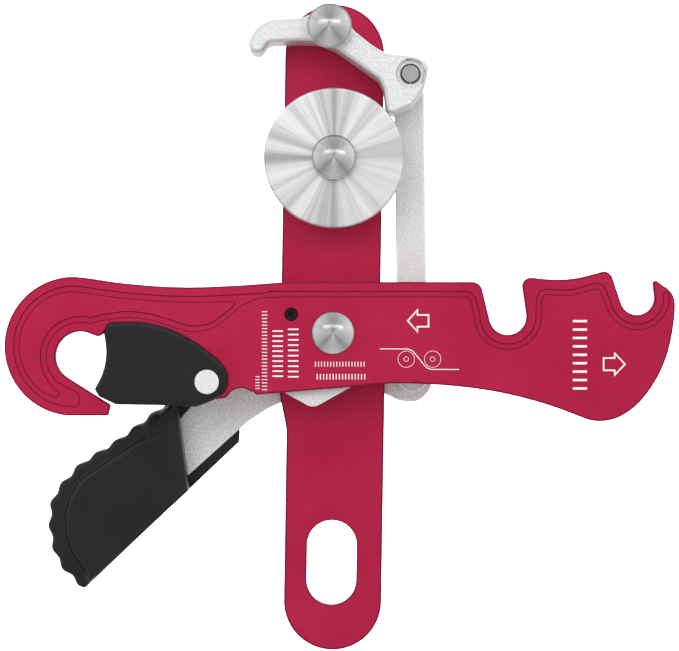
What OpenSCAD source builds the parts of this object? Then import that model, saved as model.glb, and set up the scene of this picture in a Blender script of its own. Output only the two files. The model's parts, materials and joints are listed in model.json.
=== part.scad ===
// Self-braking double-stop rope descender, drawn with its front plate swung open.
// X is to the right, Z is up towards the top pin, and the front faces -Y.
// The origin is the centre of the lower arc of the rear plate's carabiner eye.

/* [Pivots] */
// Main pivot, right of the carabiner eye's centre line.
pivot_x = -0.7; // [-2:0.1:2]
// Main pivot, height above the seat of the carabiner eye.
pivot_z = 86.7; // [80:0.1:95]
// Fixed bobbin, height above the main pivot.
bobbin_up = 60; // [55:0.5:65]
// Top pin, height above the main pivot.
top_up = 104.86; // [100:0.1:110]
// Top pin, distance to the left of the main pivot.
top_left = 2.89; // [0:0.1:5]
// Link pins, distance to the right of the pivot each one swings about.
link_out = 28.05; // [25:0.05:32]
// Link pins, distance below the pivot each one swings about.
link_down = 15.46; // [10:0.05:20]

/* [Layers] */
// Thickness of the rear plate.
rear_t = 4; // [3:0.5:5]
// Clear width between the rear plate and the swing plate.
channel_w = 18.3; // [15:0.1:20]
// Thickness of the swing plate.
swing_t = 3.5; // [3:0.1:4]
// Thickness of the handle arm.
arm_t = 4; // [3:0.5:5]

/* [Plates] */
// Radius of the rear plate's top corners.
rear_top_r = 17.3; // [12:0.1:17.3]
// Radius of the rear plate's bottom corners.
rear_foot_r = 17.1; // [12:0.1:17.1]
// Radius of the carabiner eye.
eye_r = 8.7; // [8:0.1:9]
// Distance between the two arc centres of the carabiner eye.
eye_run = 12.4; // [8:0.1:16]
// Lean of the open swing plate's long edge, in degrees.
lean = 0.9; // [0:0.1:2]
// Radius of the swing plate's hook eye.
hook_eye_r = 8.5; // [7.5:0.1:9]
// Radius of the notch that closes on the bobbin's neck.
notch_a_r = 6.4; // [6.2:0.1:7]
// Radius of the notch that closes on the top pin's neck.
notch_b_r = 5.9; // [5.6:0.1:6]
// Width of the decorative groove.
groove_w = 1.7; // [1:0.1:2]
// Depth of the decorative groove.
groove_d = 0.3; // [0.1:0.1:0.6]

/* [Bobbin and pins] */
// Outer radius of the bobbin's front flange.
bobbin_r = 24.1; // [22:0.1:26]
// Radius of the bobbin's rope groove at its floor.
bobbin_core = 14; // [12:0.5:16]
// Radius of the domed heads.
dome_r = 7.6; // [7:0.1:8]
// Height of each domed head.
dome_h = 3.2; // [3:0.1:6]
// Radius of the neck under the bobbin screw's head.
neck_a_r = 6.1; // [5.8:0.1:6.3]
// Radius of the neck under the top pin's head.
neck_b_r = 5.3; // [5:0.1:5.5]
// Radius of the top pin's shank.
pin_r = 4; // [3.5:0.1:4.5]
// Radius of the bobbin screw's shank.
screw_r = 5; // [4:0.1:5.2]
// Radius of the dowel that keys the bobbin.
dowel_r = 2; // [1.5:0.1:2.2]
// Distance from the bobbin's centre down to its dowel.
dowel_down = 11; // [10:0.1:12]
// Wall of the lever's bearing sleeve.
bush_t = 0.6; // [0.5:0.1:0.8]
// Wall of the hub's bearing sleeve.
hub_bush_t = 1.7; // [1.2:0.1:2]
// Radial clearance of every running fit.
run_gap = 0.05; // [0.01:0.01:0.1]
// Radial clearance of every fit that stays put.
slip_gap = 0.03; // [0.01:0.01:0.05]

/* [Handle] */
// Radius of the cam's hub.
hub_r = 6.5; // [6:0.1:7]
// Radius of the axle inside the swing plate.
axle_neck_r = 5; // [4.5:0.1:5.2]
// Radius of the axle inside the cam and the arm.
axle_r = 4; // [3.5:0.1:4.5]
// Radius of the lower link pin.
link_pin_r = 3; // [2.7:0.1:3.2]
// Radius of the upper link pin.
lever_pin_r = 2.9; // [2.7:0.1:3]
// Distance between the two flats that key the hub in the arm.
hub_flats = 10; // [9:0.1:11]
// Height of the waves along the grip's finger edge.
wave_h = 0.55; // [0:0.05:1]
// Number of waves along the grip's finger edge.
waves = 11; // [8:1:14]

/* [Gate] */
// Radius of the rivet that the gate turns on.
rivet_r = 2.5; // [2:0.1:2.8]
// Radius of the rivet's two heads.
rivet_head_r = 4.15; // [3.8:0.05:4.3]

/* [Hidden] */
$fn = 96;
turn_step = 6;
// How far a cutting shape runs past the face it cuts.
past = 1;
rear_front = -rear_t / 2;
rear_back = rear_t / 2;
swing_back = rear_front - channel_w;
swing_front = swing_back - swing_t;
head_seat = swing_front - 0.3;
bobbin_front = swing_back + 0.3;
cam_front = swing_back + 1.3;
arm_front = rear_back + 0.5;
arm_back = arm_front + arm_t;
lever_front = swing_back + 0.7;
lever_back = rear_front - 0.4;
A = [pivot_x, pivot_z];
B = [pivot_x + link_out, pivot_z - link_down];
D = [pivot_x - top_left, pivot_z + top_up];
C = [D[0] + link_out, D[1] - link_down];
bobbin = [pivot_x - 0.6, pivot_z + bobbin_up];
dowel = [bobbin[0], bobbin[1] - dowel_down];
rivet = [-43, -16.7];
stop_pin = [-14.3, 6.3];
stop_pin_r = 2.15;
grip_screw_at = [[-61.5, -45], [-76.5, -64.5]];
// The handle spring: wire, mean coil and the two legs' distances from the pivot.
spring_wire_r = 0.6;
spring_coil_r = hub_r + 2.6;
spring_leg_r = 0.55;
spring_hole_r = 0.65;
fixed_leg_up = 9.4;
cam_leg_out = 9.1;
cheek_front = swing_front - 2.1;
cheek_back = swing_back + 3.9;

// ---- drawing helpers ----

// Unit direction from one point to another.
function dir(a, b) = let (d = [b[0] - a[0], b[1] - a[1]]) d / norm(d);

// Distance between two points.
function gap(a, b) = norm([b[0] - a[0], b[1] - a[1]]);

// Points of an arc about c from angle a0 to angle a1.
function arc(c, r, a0, a1) =
  let (n = max(1, ceil(abs(a1 - a0) / turn_step)))
  [for (k = [0:n]) let (t = a0 + (a1 - a0) * k / n) [c[0] + r * cos(t), c[1] + r * sin(t)]];

// One corner at p, rounded to its third number.
function corner(a, p, b) =
  let (r = len(p) > 2 ? p[2] : 0)
  let (u = dir(p, a), v = dir(p, b))
  let (h = acos(max(-1, min(1, u * v))) / 2)
  (r <= 0 || h > 89.5 || h < 2) ? [[p[0], p[1]]] :
  let (t = min(r / tan(h), 0.5 * gap(a, p), 0.5 * gap(p, b)))
  let (q = t * tan(h), m = (u + v) / norm(u + v))
  let (c = [p[0], p[1]] + m * q / sin(h))
  let (s = [p[0], p[1]] + u * t - c, e = [p[0], p[1]] + v * t - c)
  let (a0 = atan2(s[1], s[0]), w = atan2(e[1], e[0]) - a0)
  arc(c, q, a0, a0 + (w > 180 ? w - 360 : w < -180 ? w + 360 : w));

// A closed outline with every corner rounded.
function rounded(p) =
  let (n = len(p))
  [for (i = [0:n - 1]) each corner(p[(i + n - 1) % n], p[i], p[(i + 1) % n])];

// An open line with its inner corners rounded.
function eased(p) =
  let (n = len(p))
  concat([[p[0][0], p[0][1]]],
    [for (i = [1:n - 2]) each corner(p[i - 1], p[i], p[i + 1])],
    [[p[n - 1][0], p[n - 1][1]]]);

// One point of a smooth curve from b to c.
function bend(a, b, c, d, t) =
  0.5 * (2 * b + (c - a) * t + (2 * a - 5 * b + 4 * c - d) * t * t
    + (3 * b - a - 3 * c + d) * t * t * t);

// A smooth open curve through points, with n steps between each two.
function flowing(p, n = 3) =
  let (m = len(p) - 1)
  concat([for (i = [0:m - 1], k = [0:n - 1])
    bend(p[max(0, i - 1)], p[i], p[i + 1], p[min(m, i + 2)], k / n)], [p[m]]);

// A line moved sideways by s.
function aside(p, s) =
  let (n = len(p))
  [for (i = [0:n - 1])
    let (d = dir(p[max(0, i - 1)], p[min(n - 1, i + 1)]))
    [p[i][0] - s * d[1], p[i][1] + s * d[0]]];

// A closed ribbon of width w along a line.
function ribbon(p, w) =
  let (a = aside(p, w / 2), b = aside(p, -w / 2), n = len(p))
  concat(a, [for (i = [0:n - 1]) b[n - 1 - i]]);

// A flat shape drawn in X and Z, made solid between two depths.
module slab(front, back) {
  translate([0, back, 0])
    rotate([90, 0, 0])
      linear_extrude(back - front)
        children();
}

// A round bar along Y between two depths.
module rod(c, r, front, back) {
  translate([c[0], back, c[1]])
    rotate([90, 0, 0])
      cylinder(r = r, h = back - front);
}

// A turned shape about a Y axis; its profile is drawn as radius and depth forward.
module turned(c) {
  translate([c[0], 0, c[1]])
    rotate([90, 0, 0])
      rotate_extrude()
        children();
}

// Places a flat drawing made about a pivot, with the lean of the long edge.
module about(c) {
  translate(c)
    rotate(lean)
      children();
}

// A domed head: the cap of a ball, flat at its seat.
module dome(c, r, seat) {
  ball = (r * r + dome_h * dome_h) / (2 * dome_h);
  intersection() {
    translate([c[0], seat - dome_h + ball, c[1]])
      rotate([90, 0, 0])
        sphere(r = ball, $fn = 120);
    rod(c, r, seat - dome_h - 1, seat);
  }
}

// A hexagon nut with a chamfered outer face, washer face towards the front.
module nut(c, flats, hole, front, back) {
  difference() {
    intersection() {
      translate([c[0], back, c[1]])
        rotate([90, 0, 0])
          cylinder(r = flats / sqrt(3), h = back - front, $fn = 6);
      turned(c)
        polygon([[0, -front], [flats * 0.55, -front], [flats * 0.6, -front - 0.6],
          [flats * 0.6, -back + 0.9], [flats * 0.47, -back], [0, -back]]);
    }
    rod(c, hole, front - 1, back + 1);
  }
}

// ---- rear body ----

rear_outline = [
  [-18.3, 114.8, rear_top_r], [16.3, 114.8, rear_top_r], [16.3, 12, 30], [18.3, -8, 30],
  [18.3, -111, rear_foot_r], [-15.8, -111, rear_foot_r], [-15.8, -34, 14], [-18.4, -22, 14]];

// Long straight back plate with the slotted carabiner eye.
module rear_plate() {
  color([0.62, 0.08, 0.2])
    difference() {
      slab(rear_front, rear_back)
        translate(A)
          polygon(rounded(rear_outline));
      rod([0, 0], eye_r, rear_front - past, rear_back + past);
      rod([0, eye_run], eye_r, rear_front - past, rear_back + past);
      translate([-eye_r, rear_front - 1, 0])
        cube([2 * eye_r, rear_t + 2, eye_run]);
      rod(A, hub_r + hub_bush_t, rear_front - past, rear_back + past);
      rod(bobbin, screw_r + slip_gap, rear_front - past, rear_back + past);
      rod(dowel, dowel_r + slip_gap, rear_front - past, rear_back + past);
      rod(D, pin_r + slip_gap, rear_front - past, rear_back + past);
      rod([A[0], A[1] + fixed_leg_up], spring_hole_r, rear_front - past, rear_back + past);
    }
}

// Plain bearing sleeve pressed into the rear plate for the cam's hub.
module hub_bush() {
  color([0.72, 0.55, 0.25])
    difference() {
      rod(A, hub_r + hub_bush_t, rear_front, rear_back);
      rod(A, hub_r + run_gap, rear_front - past, rear_back + past);
    }
}

// Fixed upper rope bobbin with a broad front flange.
module bobbin_sheave() {
  f = -bobbin_front;
  b = -rear_front;
  color([0.82, 0.83, 0.83])
    difference() {
      turned(bobbin)
        polygon(concat(
          [[0, b], [20.6, b], [21.4, b + 0.8], [21.4, b + 1.9]],
          arc([21.4, b + 2.9], 1, -90, -150),
          arc([bobbin_core + 2.6, b + 7.2], 2.6, -150, -180),
          arc([bobbin_core + 2.6, f - 6.8], 2.6, 180, 150),
          [[bobbin_r - 0.9, f - 2.3], [bobbin_r, f - 1.5], [bobbin_r, f - 0.7],
          [bobbin_r - 0.7, f], [0, f]]));
      rod(bobbin, screw_r + slip_gap, -f - 1, -b + 1);
      rod(dowel, dowel_r + slip_gap, -b - 6, -b + 1);
    }
}

// Short pin that stops the bobbin from turning on the rear plate.
module bobbin_dowel() {
  color([0.6, 0.6, 0.62])
    rod(dowel, dowel_r, rear_front - 6, rear_back);
}

// Domed screw through the bobbin, with the neck that the swing plate closes on.
module bobbin_screw() {
  color([0.75, 0.75, 0.76]) {
    dome(bobbin, dome_r, head_seat);
    rod(bobbin, neck_a_r, head_seat, bobbin_front);
    rod(bobbin, screw_r, bobbin_front, rear_back + 7.4);
  }
}

// Nut on the bobbin screw.
module bobbin_nut() {
  color([0.6, 0.6, 0.62])
    nut(bobbin, 15, screw_r, rear_back, rear_back + 6.4);
}

// Domed pin at the top that the brake lever swings on.
module top_pin() {
  color([0.75, 0.75, 0.76]) {
    dome(D, dome_r, head_seat);
    rod(D, neck_b_r, head_seat, lever_front - 0.3);
    rod(D, pin_r, lever_front - 0.3, rear_back + 7.4);
  }
}

// Washer behind the rear plate on the top pin.
module top_pin_washer() {
  color([0.66, 0.66, 0.68])
    difference() {
      rod(D, 8, rear_back, rear_back + 1.2);
      rod(D, pin_r, rear_back - 1, rear_back + 2);
    }
}

// Nut on the top pin.
module top_pin_nut() {
  color([0.6, 0.6, 0.62])
    nut(D, 13, pin_r, rear_back + 1.2, rear_back + 6.6);
}

// Closely wound torsion spring that returns the handle.
module handle_spring() {
  color([0.45, 0.45, 0.47]) {
    for (k = [0:2])
      turned(A)
        translate([spring_coil_r, -rear_front + 1.6 + 1.15 * k])
          circle(r = spring_wire_r, $fn = 32);
    rod([A[0], A[1] + fixed_leg_up], spring_leg_r, rear_front - 1.6, rear_back - 0.6);
    rod([A[0] + cam_leg_out, A[1]], spring_leg_r, rear_front - 5.4, rear_front - 3.9);
  }
}

// ---- swing body ----

// Outline of the swing plate about the main pivot, without its round cuts.
swing_outline = concat(
  [[-16.4, 17.36, 60], [50.3, 17.4, 3.6]],
  arc([53.33 + notch_a_r, 5.72], notch_a_r, 196, 369),
  [[64.2, 19.2, 2.9], [80.1, 17.6, 40], [94.5, 21.6, 3]],
  arc([103.95, 12], notch_b_r, 199.5, 364),
  [[109.1, 18.9, 0.9]],
  flowing([[112.5, 16.3], [114.65, 14.8], [116.1, 12.9], [116.75, 10.35], [116.8, 7.8],
    [116.4, 3.5], [115.7, -0.9], [114.6, -5.9], [112.95, -10.7], [110.7, -15.4],
    [108, -19.7], [104.9, -23.5], [101.4, -26.6], [97.7, -28.8], [94.2, -29.9],
    [90.7, -30.2], [87.5, -29.75], [84.3, -28.6], [80.9, -27.3], [75.8, -25.4],
    [69, -23.3], [60.4, -21.1], [51.9, -19.5], [43.3, -18.4], [33, -17.6], [20, -17.3],
    [5.8, -18.5], [-11.3, -19.9]]),
  [[-26.3, -21.2, 0.8], [-27.4, -20, 0.8]],
  arc([-31.4, -24.2], 5.3, 50, 152),
  [[-37, -22.3, 0.8]],
  arc([rivet[0], rivet[1]], 6.3, -75, -222),
  [[-52.5, -6.2, 8], [-58.4, -1.2, 8], [-66, 1.9, 12], [-76.9, 2.4, 1.2], [-78.5, -0.3, 1],
  [-80.4, -1.3, 1.2]],
  arc([-86.32, -8.1], hook_eye_r, 74, 238),
  [[-76, -24.7, 1], [-76.9, -28.3, 0.9]],
  arc([-88.5, -4.6], 23.8, -95, -270),
  [[-82.9, 18.6, 40], [-72.6, 17, 60], [-59, 15.8, 80], [-47, 15.5, 80], [-31.7, 16.2, 80]]);

// Line of the groove along the top edge and round the two notches.
groove_edge = eased(concat(
  [[113.5, 13.6]],
  arc([103.95, 12], notch_b_r + 4.1, -2, -160),
  [[91.4, 16.4, 2], [80, 13.3, 20], [70.5, 14.4, 3]],
  arc([59.73, 5.72], notch_a_r + 4.1, 0, -180),
  [[47.4, 13.2, 3], [-22, 13.25]]));

// Outer edge of the groove that loops through the hook.
groove_loop = rounded(concat(
  [[-15, 14.1], [-31.7, 12.95, 60], [-47, 12.25, 60], [-59, 12.55, 60], [-72.6, 13.75, 60],
  [-82.9, 15.2, 40]],
  arc([-88.5, -4.6], 20.55, 90, 260),
  [[-86.4, -25.4, 2.2], [-86.9, -20.7, 2.2], [-94.6, -16.8, 5]],
  arc([-86.32, -8.1], 11.8, 205, 75),
  [[-78.5, 4.4, 10], [-70.4, 5.6, 20], [-62.2, 4.6, 30], [-48.6, 0.2, 12], [-40.5, 1.4, 12],
  [-32, 9, 10], [-26, 12, 10], [-15, 12.4]]));

// Island that the groove runs round.
groove_island = rounded(concat(
  [[-33, 10.8, 1.4], [-47, 10.5, 60], [-59, 10.85, 60], [-72.6, 12, 60], [-82.9, 13.5, 40]],
  arc([-88.5, -4.6], 18.85, 90, 238),
  [[-94.4, -22.4, 1.3], [-93.2, -20.7, 1.2], [-97, -17, 8]],
  arc([-86.32, -8.1], 13.6, 205, 75),
  [[-78.5, 6.2, 10], [-70.4, 7.4, 20], [-62.2, 6.4, 30], [-48.2, 1.9, 12], [-41.5, 3, 10],
  [-34, 9, 3]]));

// Hinged front plate with two notches, the hook and its open mouth.
module swing_plate() {
  color([0.66, 0.1, 0.22])
    difference() {
      slab(swing_front, swing_back)
        about(A)
          polygon(rounded(swing_outline));
      slab(swing_front - 1, swing_front + groove_d)
        about(A)
          polygon(ribbon(groove_edge, groove_w));
      difference() {
        slab(swing_front - 1, swing_front + groove_d)
          about(A)
            polygon(groove_loop);
        slab(swing_front - 2, swing_front + 1)
          about(A)
            polygon(groove_island);
      }
      rod(A, axle_neck_r + run_gap, swing_front - past, swing_back + past);
      rod(leaned(stop_pin), stop_pin_r, swing_front - past, swing_back + past);
      rod(leaned(rivet), rivet_r + slip_gap, swing_front - past, swing_back + past);
    }
}

// A point drawn about the main pivot, moved to its place on the part.
function leaned(p) = [A[0] + p[0] * cos(lean) - p[1] * sin(lean),
  A[1] + p[0] * sin(lean) + p[1] * cos(lean)];

// Black plug that buffers the swing plate against the cam.
module swing_stop_pin() {
  color([0.08, 0.08, 0.08])
    rod(leaned(stop_pin), stop_pin_r, swing_front + 0.5, swing_back + 0.6);
}

// Washer between the swing plate and the cam.
module swing_washer() {
  color([0.7, 0.7, 0.72])
    difference() {
      rod(A, 9, swing_back, swing_back + 0.8);
      rod(A, 5.4, swing_back - 1, swing_back + 2);
    }
}

// Rivet that the gate turns on.
module gate_rivet() {
  p = leaned(rivet);
  color([0.8, 0.8, 0.81]) {
    rod(p, rivet_head_r, cheek_front - 1.3, cheek_front - 0.3);
    rod(p, rivet_r, cheek_front - 0.3, cheek_back + 0.3);
    rod(p, rivet_head_r, cheek_back + 0.3, cheek_back + 1.2);
  }
}

// Small torsion spring that closes the gate.
module gate_spring() {
  p = leaned(rivet);
  color([0.5, 0.5, 0.52]) {
    for (k = [0:1])
      turned(p)
        translate([3.35, -swing_back - 0.75 - 0.62 * k])
          circle(r = 0.35, $fn = 24);
    rod(leaned([rivet[0] + 3.35, rivet[1]]), 0.33, swing_back + 0.02, swing_back + 0.8);
  }
}

// ---- gate body ----

gate_outline = [
  [-81.4, -19.2, 1], [-79.9, -21.7, 1.5], [-74, -24.5, 4], [-59, -24.7, 2],
  [-46.7, -25.3, 6], [-40.9, -23.1, 6], [-36, -19.6, 5], [-35.8, -13.4, 6],
  [-38.7, -9.4, 20], [-45.4, -4.1, 30], [-52.2, -0.1, 30], [-59, 2.6, 30],
  [-66, 3.9, 30], [-77.3, 3.6, 2.2], [-78.2, -0.3, 2], [-77.2, -6.8, 20], [-78.4, -13.6, 20]];

// Room in the gate for the swing plate, from its shut to its open position.
gate_slot = concat(
  [[-84, -13.7], [-62, -12.3], [-51.2, -15.2]],
  [[-50.4, -18.5], [-49.6, -27], [-30, -27], [-30, 8], [-84, 8]]);

// Black gate that straddles the swing plate and closes the hook's mouth.
module gate() {
  p = leaned(rivet);
  color([0.1, 0.1, 0.1])
    difference() {
      slab(cheek_front, cheek_back)
        about(A)
          polygon(rounded(gate_outline));
      slab(swing_front - 0.3, swing_back + 0.3)
        about(A)
          polygon(gate_slot);
      rod(p, rivet_r + run_gap, cheek_front - past, cheek_back + past);
      rod(p, 4.4, swing_back - 0.1, swing_back + 2.4);
    }
}

// ---- handle body ----

cam_outline = [
  [-6.9, -25.9, 4.2], [17.6, -12.2, 9], [17, 16.2, 10], [-13, 17, 9], [-25, -16, 5]];

// Lower cam: rope groove, lobe, hub through the rear plate and keyed end.
module cam() {
  color([0.8, 0.81, 0.81])
    difference() {
      union() {
        slab(cam_front, lever_back)
          about(A)
            polygon(rounded(cam_outline));
        rod(A, hub_r, lever_back - 1, arm_front);
        intersection() {
          rod(A, hub_r, arm_front - 1, arm_back - 0.4);
          translate([A[0] - hub_flats / 2, arm_front - 1, A[1] - 10])
            cube([hub_flats, arm_t + 1, 20]);
        }
      }
      turned(A)
        polygon([[12.8, 8], [12.8, 13.2], [18, 16.2], [40, 16.2], [40, 4.8], [18, 4.8]]);
      difference() {
        rod(A, hub_r + 4.3, lever_back - 4.4, lever_back + 1);
        rod(A, hub_r, lever_back - 5, lever_back + 2);
      }
      rod([A[0] + cam_leg_out, A[1]], spring_hole_r, lever_back - 5.4, lever_back - 2);
      rod(A, axle_r + slip_gap, cam_front - past, arm_back + past);
    }
}

// Domed axle through the swing plate, the cam and the arm.
module pivot_axle() {
  color([0.75, 0.75, 0.76]) {
    dome(A, dome_r - 0.3, head_seat);
    rod(A, axle_neck_r, head_seat, cam_front);
    rod(A, axle_r, cam_front, arm_back + 7.6);
  }
}

// Washer behind the handle arm.
module axle_washer() {
  color([0.66, 0.66, 0.68])
    difference() {
      rod(A, 9, arm_back, arm_back + 1.4);
      rod(A, axle_r, arm_back - 1, arm_back + 2);
    }
}

// Nut on the axle.
module axle_nut() {
  color([0.6, 0.6, 0.62])
    nut(A, 13, axle_r, arm_back + 1.4, arm_back + 6.6);
}

arm_outline = [
  [30.3, -24.6, 6], [36, -17.6, 7], [31.4, -8.4, 8], [12.5, 1.5, 14], [9.5, 13.5, 9],
  [-9, 15.8, 12], [-29, -3, 40], [-51.1, -27, 30], [-79, -58, 20], [-83.5, -79.5, 6],
  [-33.2, -34.3, 10], [-30.7, -31.8, 14], [-24, -27.3, 20], [-18.9, -24.7, 30],
  [0, -19, 40], [18.3, -21.3, 14], [22.8, -23.9, 8]];

// Handle arm behind the rear plate, from the link pin to the grip.
module handle_arm() {
  color([0.78, 0.79, 0.79])
    difference() {
      slab(arm_front, arm_back)
        about(A)
          polygon(rounded(arm_outline));
      intersection() {
        rod(A, hub_r + slip_gap, arm_front - past, arm_back + past);
        translate([A[0] - hub_flats / 2 - slip_gap, arm_front - 2, A[1] - 10])
          cube([hub_flats + 2 * slip_gap, arm_t + 4, 20]);
      }
      rod(B, link_pin_r, arm_front - past, arm_back + past);
      for (p = grip_screw_at)
        rod(leaned(p), 1.85, arm_front - past, arm_back + past);
    }
}

// Points along the finger edge of the grip, from the neck to the tip.
finger_line = eased([[-56.8, -23.6], [-75.1, -37.5, 40], [-88.6, -46, 20],
  [-98, -56.6, 16], [-99.1, -68, 30], [-96.2, -80, 24], [-88.4, -87.7]]);

// Distance along a line of each of its points.
function lengths(p) =
  [for (i = 0, s = 0; i < len(p); s = s + (i < len(p) - 1 ? gap(p[i], p[i + 1]) : 0), i = i + 1) s];

// The point at distance s along a line whose points lie at distances l.
function along(p, l, s) =
  let (k = max([for (i = [0:len(p) - 2]) l[i] <= s ? i : 0]))
  let (f = (s - l[k]) / (l[k + 1] - l[k]))
  [p[k][0] + f * (p[k + 1][0] - p[k][0]), p[k][1] + f * (p[k + 1][1] - p[k][1])];
// A line with n waves of height h along it.
function wavy(p, n, h) =
  let (l = lengths(p), total = l[len(p) - 1], m = n * 8)
  let (q = [for (i = [0:m]) along(p, l, min(total - 0.001, total * i / m))])
  [for (i = [0:m])
    let (d = dir(q[max(0, i - 1)], q[min(m, i + 1)]))
    let (w = h * cos(360 * i / 8))
    [q[i][0] - w * -d[1], q[i][1] - w * d[0]]];

finger_edge = wavy(finger_line, waves, wave_h);

// Front cover: full outline, then the raised panel inside the finger edge.
cover_line = rounded(concat([[-55.2, -21.5, 1]], finger_edge,
  [[-86.3, -89.1, 1.6], [-82.9, -84.7, 3], [-50.4, -54.9, 0.8], [-53.6, -31.3, 30]]));
panel_line = rounded([[-55.5, -24, 1], [-58.8, -26.2, 2], [-61.6, -29.6, 3], [-64.4, -31.6, 0.8],
  [-64.6, -33.2, 0.8], [-59.2, -31, 0.8], [-57.6, -31.5, 0.6], [-58.4, -32.9, 1],
  [-67.2, -37.6, 20], [-78.5, -44.8, 40], [-89.2, -52, 16], [-93.4, -62, 16],
  [-92.3, -74.5, 20], [-83.9, -85.8, 2], [-52.3, -56.8, 1]]);
rear_panel_line = rounded([[-55.6, -33.2, 1.5], [-63.6, -34.1, 10], [-78.5, -44.8, 40],
  [-89.2, -52, 16], [-93.4, -62, 16], [-92.3, -74.5, 20], [-83.9, -85.8, 2], [-52.3, -56.8, 1]]);

// Front cover of the grip.
module grip_front() {
  color([0.11, 0.11, 0.11])
    difference() {
      union() {
        slab(-8, arm_front)
          about(A)
            polygon(cover_line);
        slab(-10.5, -8)
          about(A)
            polygon(panel_line);
      }
      for (p = grip_screw_at)
        rod(leaned(p), 1.4, -5, arm_front + 1);
    }
}

shell_line = rounded(concat([[-55.2, -21.5, 1]], finger_edge,
  [[-86.8, -89.3, 1.6], [-33.2, -38.5, 1], [-33, -34.3, 0.8], [-40, -28, 6], [-51, -22.2, 4]]));

// Rear shell of the grip, a tray that the handle arm lies in.
module grip_rear() {
  color([0.1, 0.1, 0.1])
    difference() {
      union() {
        slab(arm_front, arm_back + 3)
          about(A)
            polygon(shell_line);
        slab(arm_back + 3, arm_back + 7)
          about(A)
            polygon(rear_panel_line);
      }
      slab(arm_front - 1, arm_back)
        about(A)
          polygon(rounded(arm_outline));
      for (p = grip_screw_at) {
        rod(leaned(p), 1.85, arm_back - 1, arm_back + 8);
        rod(leaned(p), 3.4, arm_back + 3.4, arm_back + 8);
      }
    }
}

// Two identical screws that hold the grip halves together.
module grip_screws() {
  color([0.5, 0.5, 0.52])
    for (p = grip_screw_at)
      difference() {
        union() {
          rod(leaned(p), 1.4, -4.6, arm_front);
          rod(leaned(p), 1.75, arm_front, arm_back + 3.4);
          rod(leaned(p), 3.2, arm_back + 3.4, arm_back + 5.6);
        }
        translate([leaned(p)[0], arm_back + 6, leaned(p)[1]])
          rotate([90, 0, 0])
            cylinder(r = 1.45, h = 1.8, $fn = 6);
      }
}

// Pin in the handle arm that carries the lower end of the link.
module link_lower_pin() {
  color([0.7, 0.7, 0.71])
    difference() {
      union() {
        rod(B, link_pin_r + 0.6, rear_front - 0.8, rear_front);
        rod(B, link_pin_r, rear_front, arm_back + 1.7);
      }
      difference() {
        rod(B, 5, arm_back, arm_back + 0.8);
        rod(B, 2.3, arm_back - 1, arm_back + 2);
      }
    }
}

// Retaining ring behind the handle arm on the lower link pin.
module link_lower_clip() {
  color([0.4, 0.4, 0.42])
    difference() {
      rod(B, 4.8, arm_back, arm_back + 0.8);
      rod(B, 2.3, arm_back - 1, arm_back + 2);
      translate([B[0] - 1.4, arm_back - 1, B[1] - 8])
        cube([2.8, 3, 8]);
    }
}

// ---- link body ----

// Flat bar that ties the lever to the handle arm.
module link_bar() {
  w = 5.2;
  color([0.78, 0.79, 0.79])
    difference() {
      union() {
        slab(-1.7, 2)
          polygon([[B[0] - w, B[1]], [B[0] + w, B[1]], [C[0] + w, C[1]], [C[0] - w, C[1]]]);
        rod(B, w, -1.7, 2);
        rod(C, w, -1.7, 2);
      }
      rod(B, link_pin_r + run_gap, -3, 3);
      rod(C, lever_pin_r + run_gap, -3, 3);
    }
}

// ---- lever body ----

lever_hook = [
  [-9.7, 3.3], [-19.3, 2.7], [-22, 1.75], [-24.4, 0.2], [-26.2, -1.8], [-27.3, -4.1],
  [-27.7, -6.1], [-27.2, -7.6], [-26.1, -8.45], [-24.7, -8.7], [-23.5, -8.25],
  [-22.5, -7.3], [-21.75, -6.1], [-20.6, -5.25], [-18, -4.95], [-10, -4.6]];
lever_rest = [
  [-3.2, -4.9, 10], [2.6, -7.4, 10], [17.3, -18, 4], [18.8, -21.5, 5], [19.7, -29.3, 1.6],
  [22.4, -29.5, 2], [28.6, -26.9, 3.5], [32.6, -21, 10], [34.4, -12.8, 3.4], [30.2, -10.2, 8],
  [18.8, -8.7, 10], [14, -5.6, 8], [7.8, -0.6, 8], [5, 5.2, 5], [-4.5, 5.2, 5]];
lever_outline = concat(flowing(lever_hook), lever_rest);

// Upper brake lever with its hooked left end and its pinching lower tip.
module brake_lever() {
  color([0.8, 0.81, 0.81])
    difference() {
      union() {
        slab(lever_front, lever_back)
          about(D)
            polygon(rounded(lever_outline));
        rod(D, 5.7, lever_front, lever_back);
      }
      rod(D, pin_r + bush_t, lever_front - past, lever_back + past);
      rod(C, lever_pin_r + slip_gap, lever_front - past, lever_back + past);
      rod(C, 4.8, lever_front - 1, lever_front + 1.6);
    }
}

// Bearing sleeve pressed into the lever for the top pin.
module lever_bush() {
  color([0.72, 0.55, 0.25])
    difference() {
      rod(D, pin_r + bush_t, lever_front + 0.1, lever_back);
      rod(D, pin_r + run_gap, lever_front - past, lever_back + past);
    }
}

// Pin through the lever and the upper end of the link.
module link_upper_pin() {
  color([0.72, 0.72, 0.73])
    difference() {
      union() {
        rod(C, lever_pin_r, lever_front + 0.3, 2.4);
        rod(C, 4.5, 2.4, 3.6);
      }
      difference() {
        rod(C, 4, lever_front + 0.8, lever_front + 1.6);
        rod(C, 2.3, lever_front, lever_front + 2);
      }
    }
}

// Retaining ring in the lever's round recess.
module link_upper_clip() {
  color([0.4, 0.4, 0.42])
    difference() {
      rod(C, 3.6, lever_front + 0.8, lever_front + 1.6);
      rod(C, 2.3, lever_front, lever_front + 3);
      translate([C[0] - 1.2, lever_front, C[1] - 8])
        cube([2.4, 3, 8]);
    }
}

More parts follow.
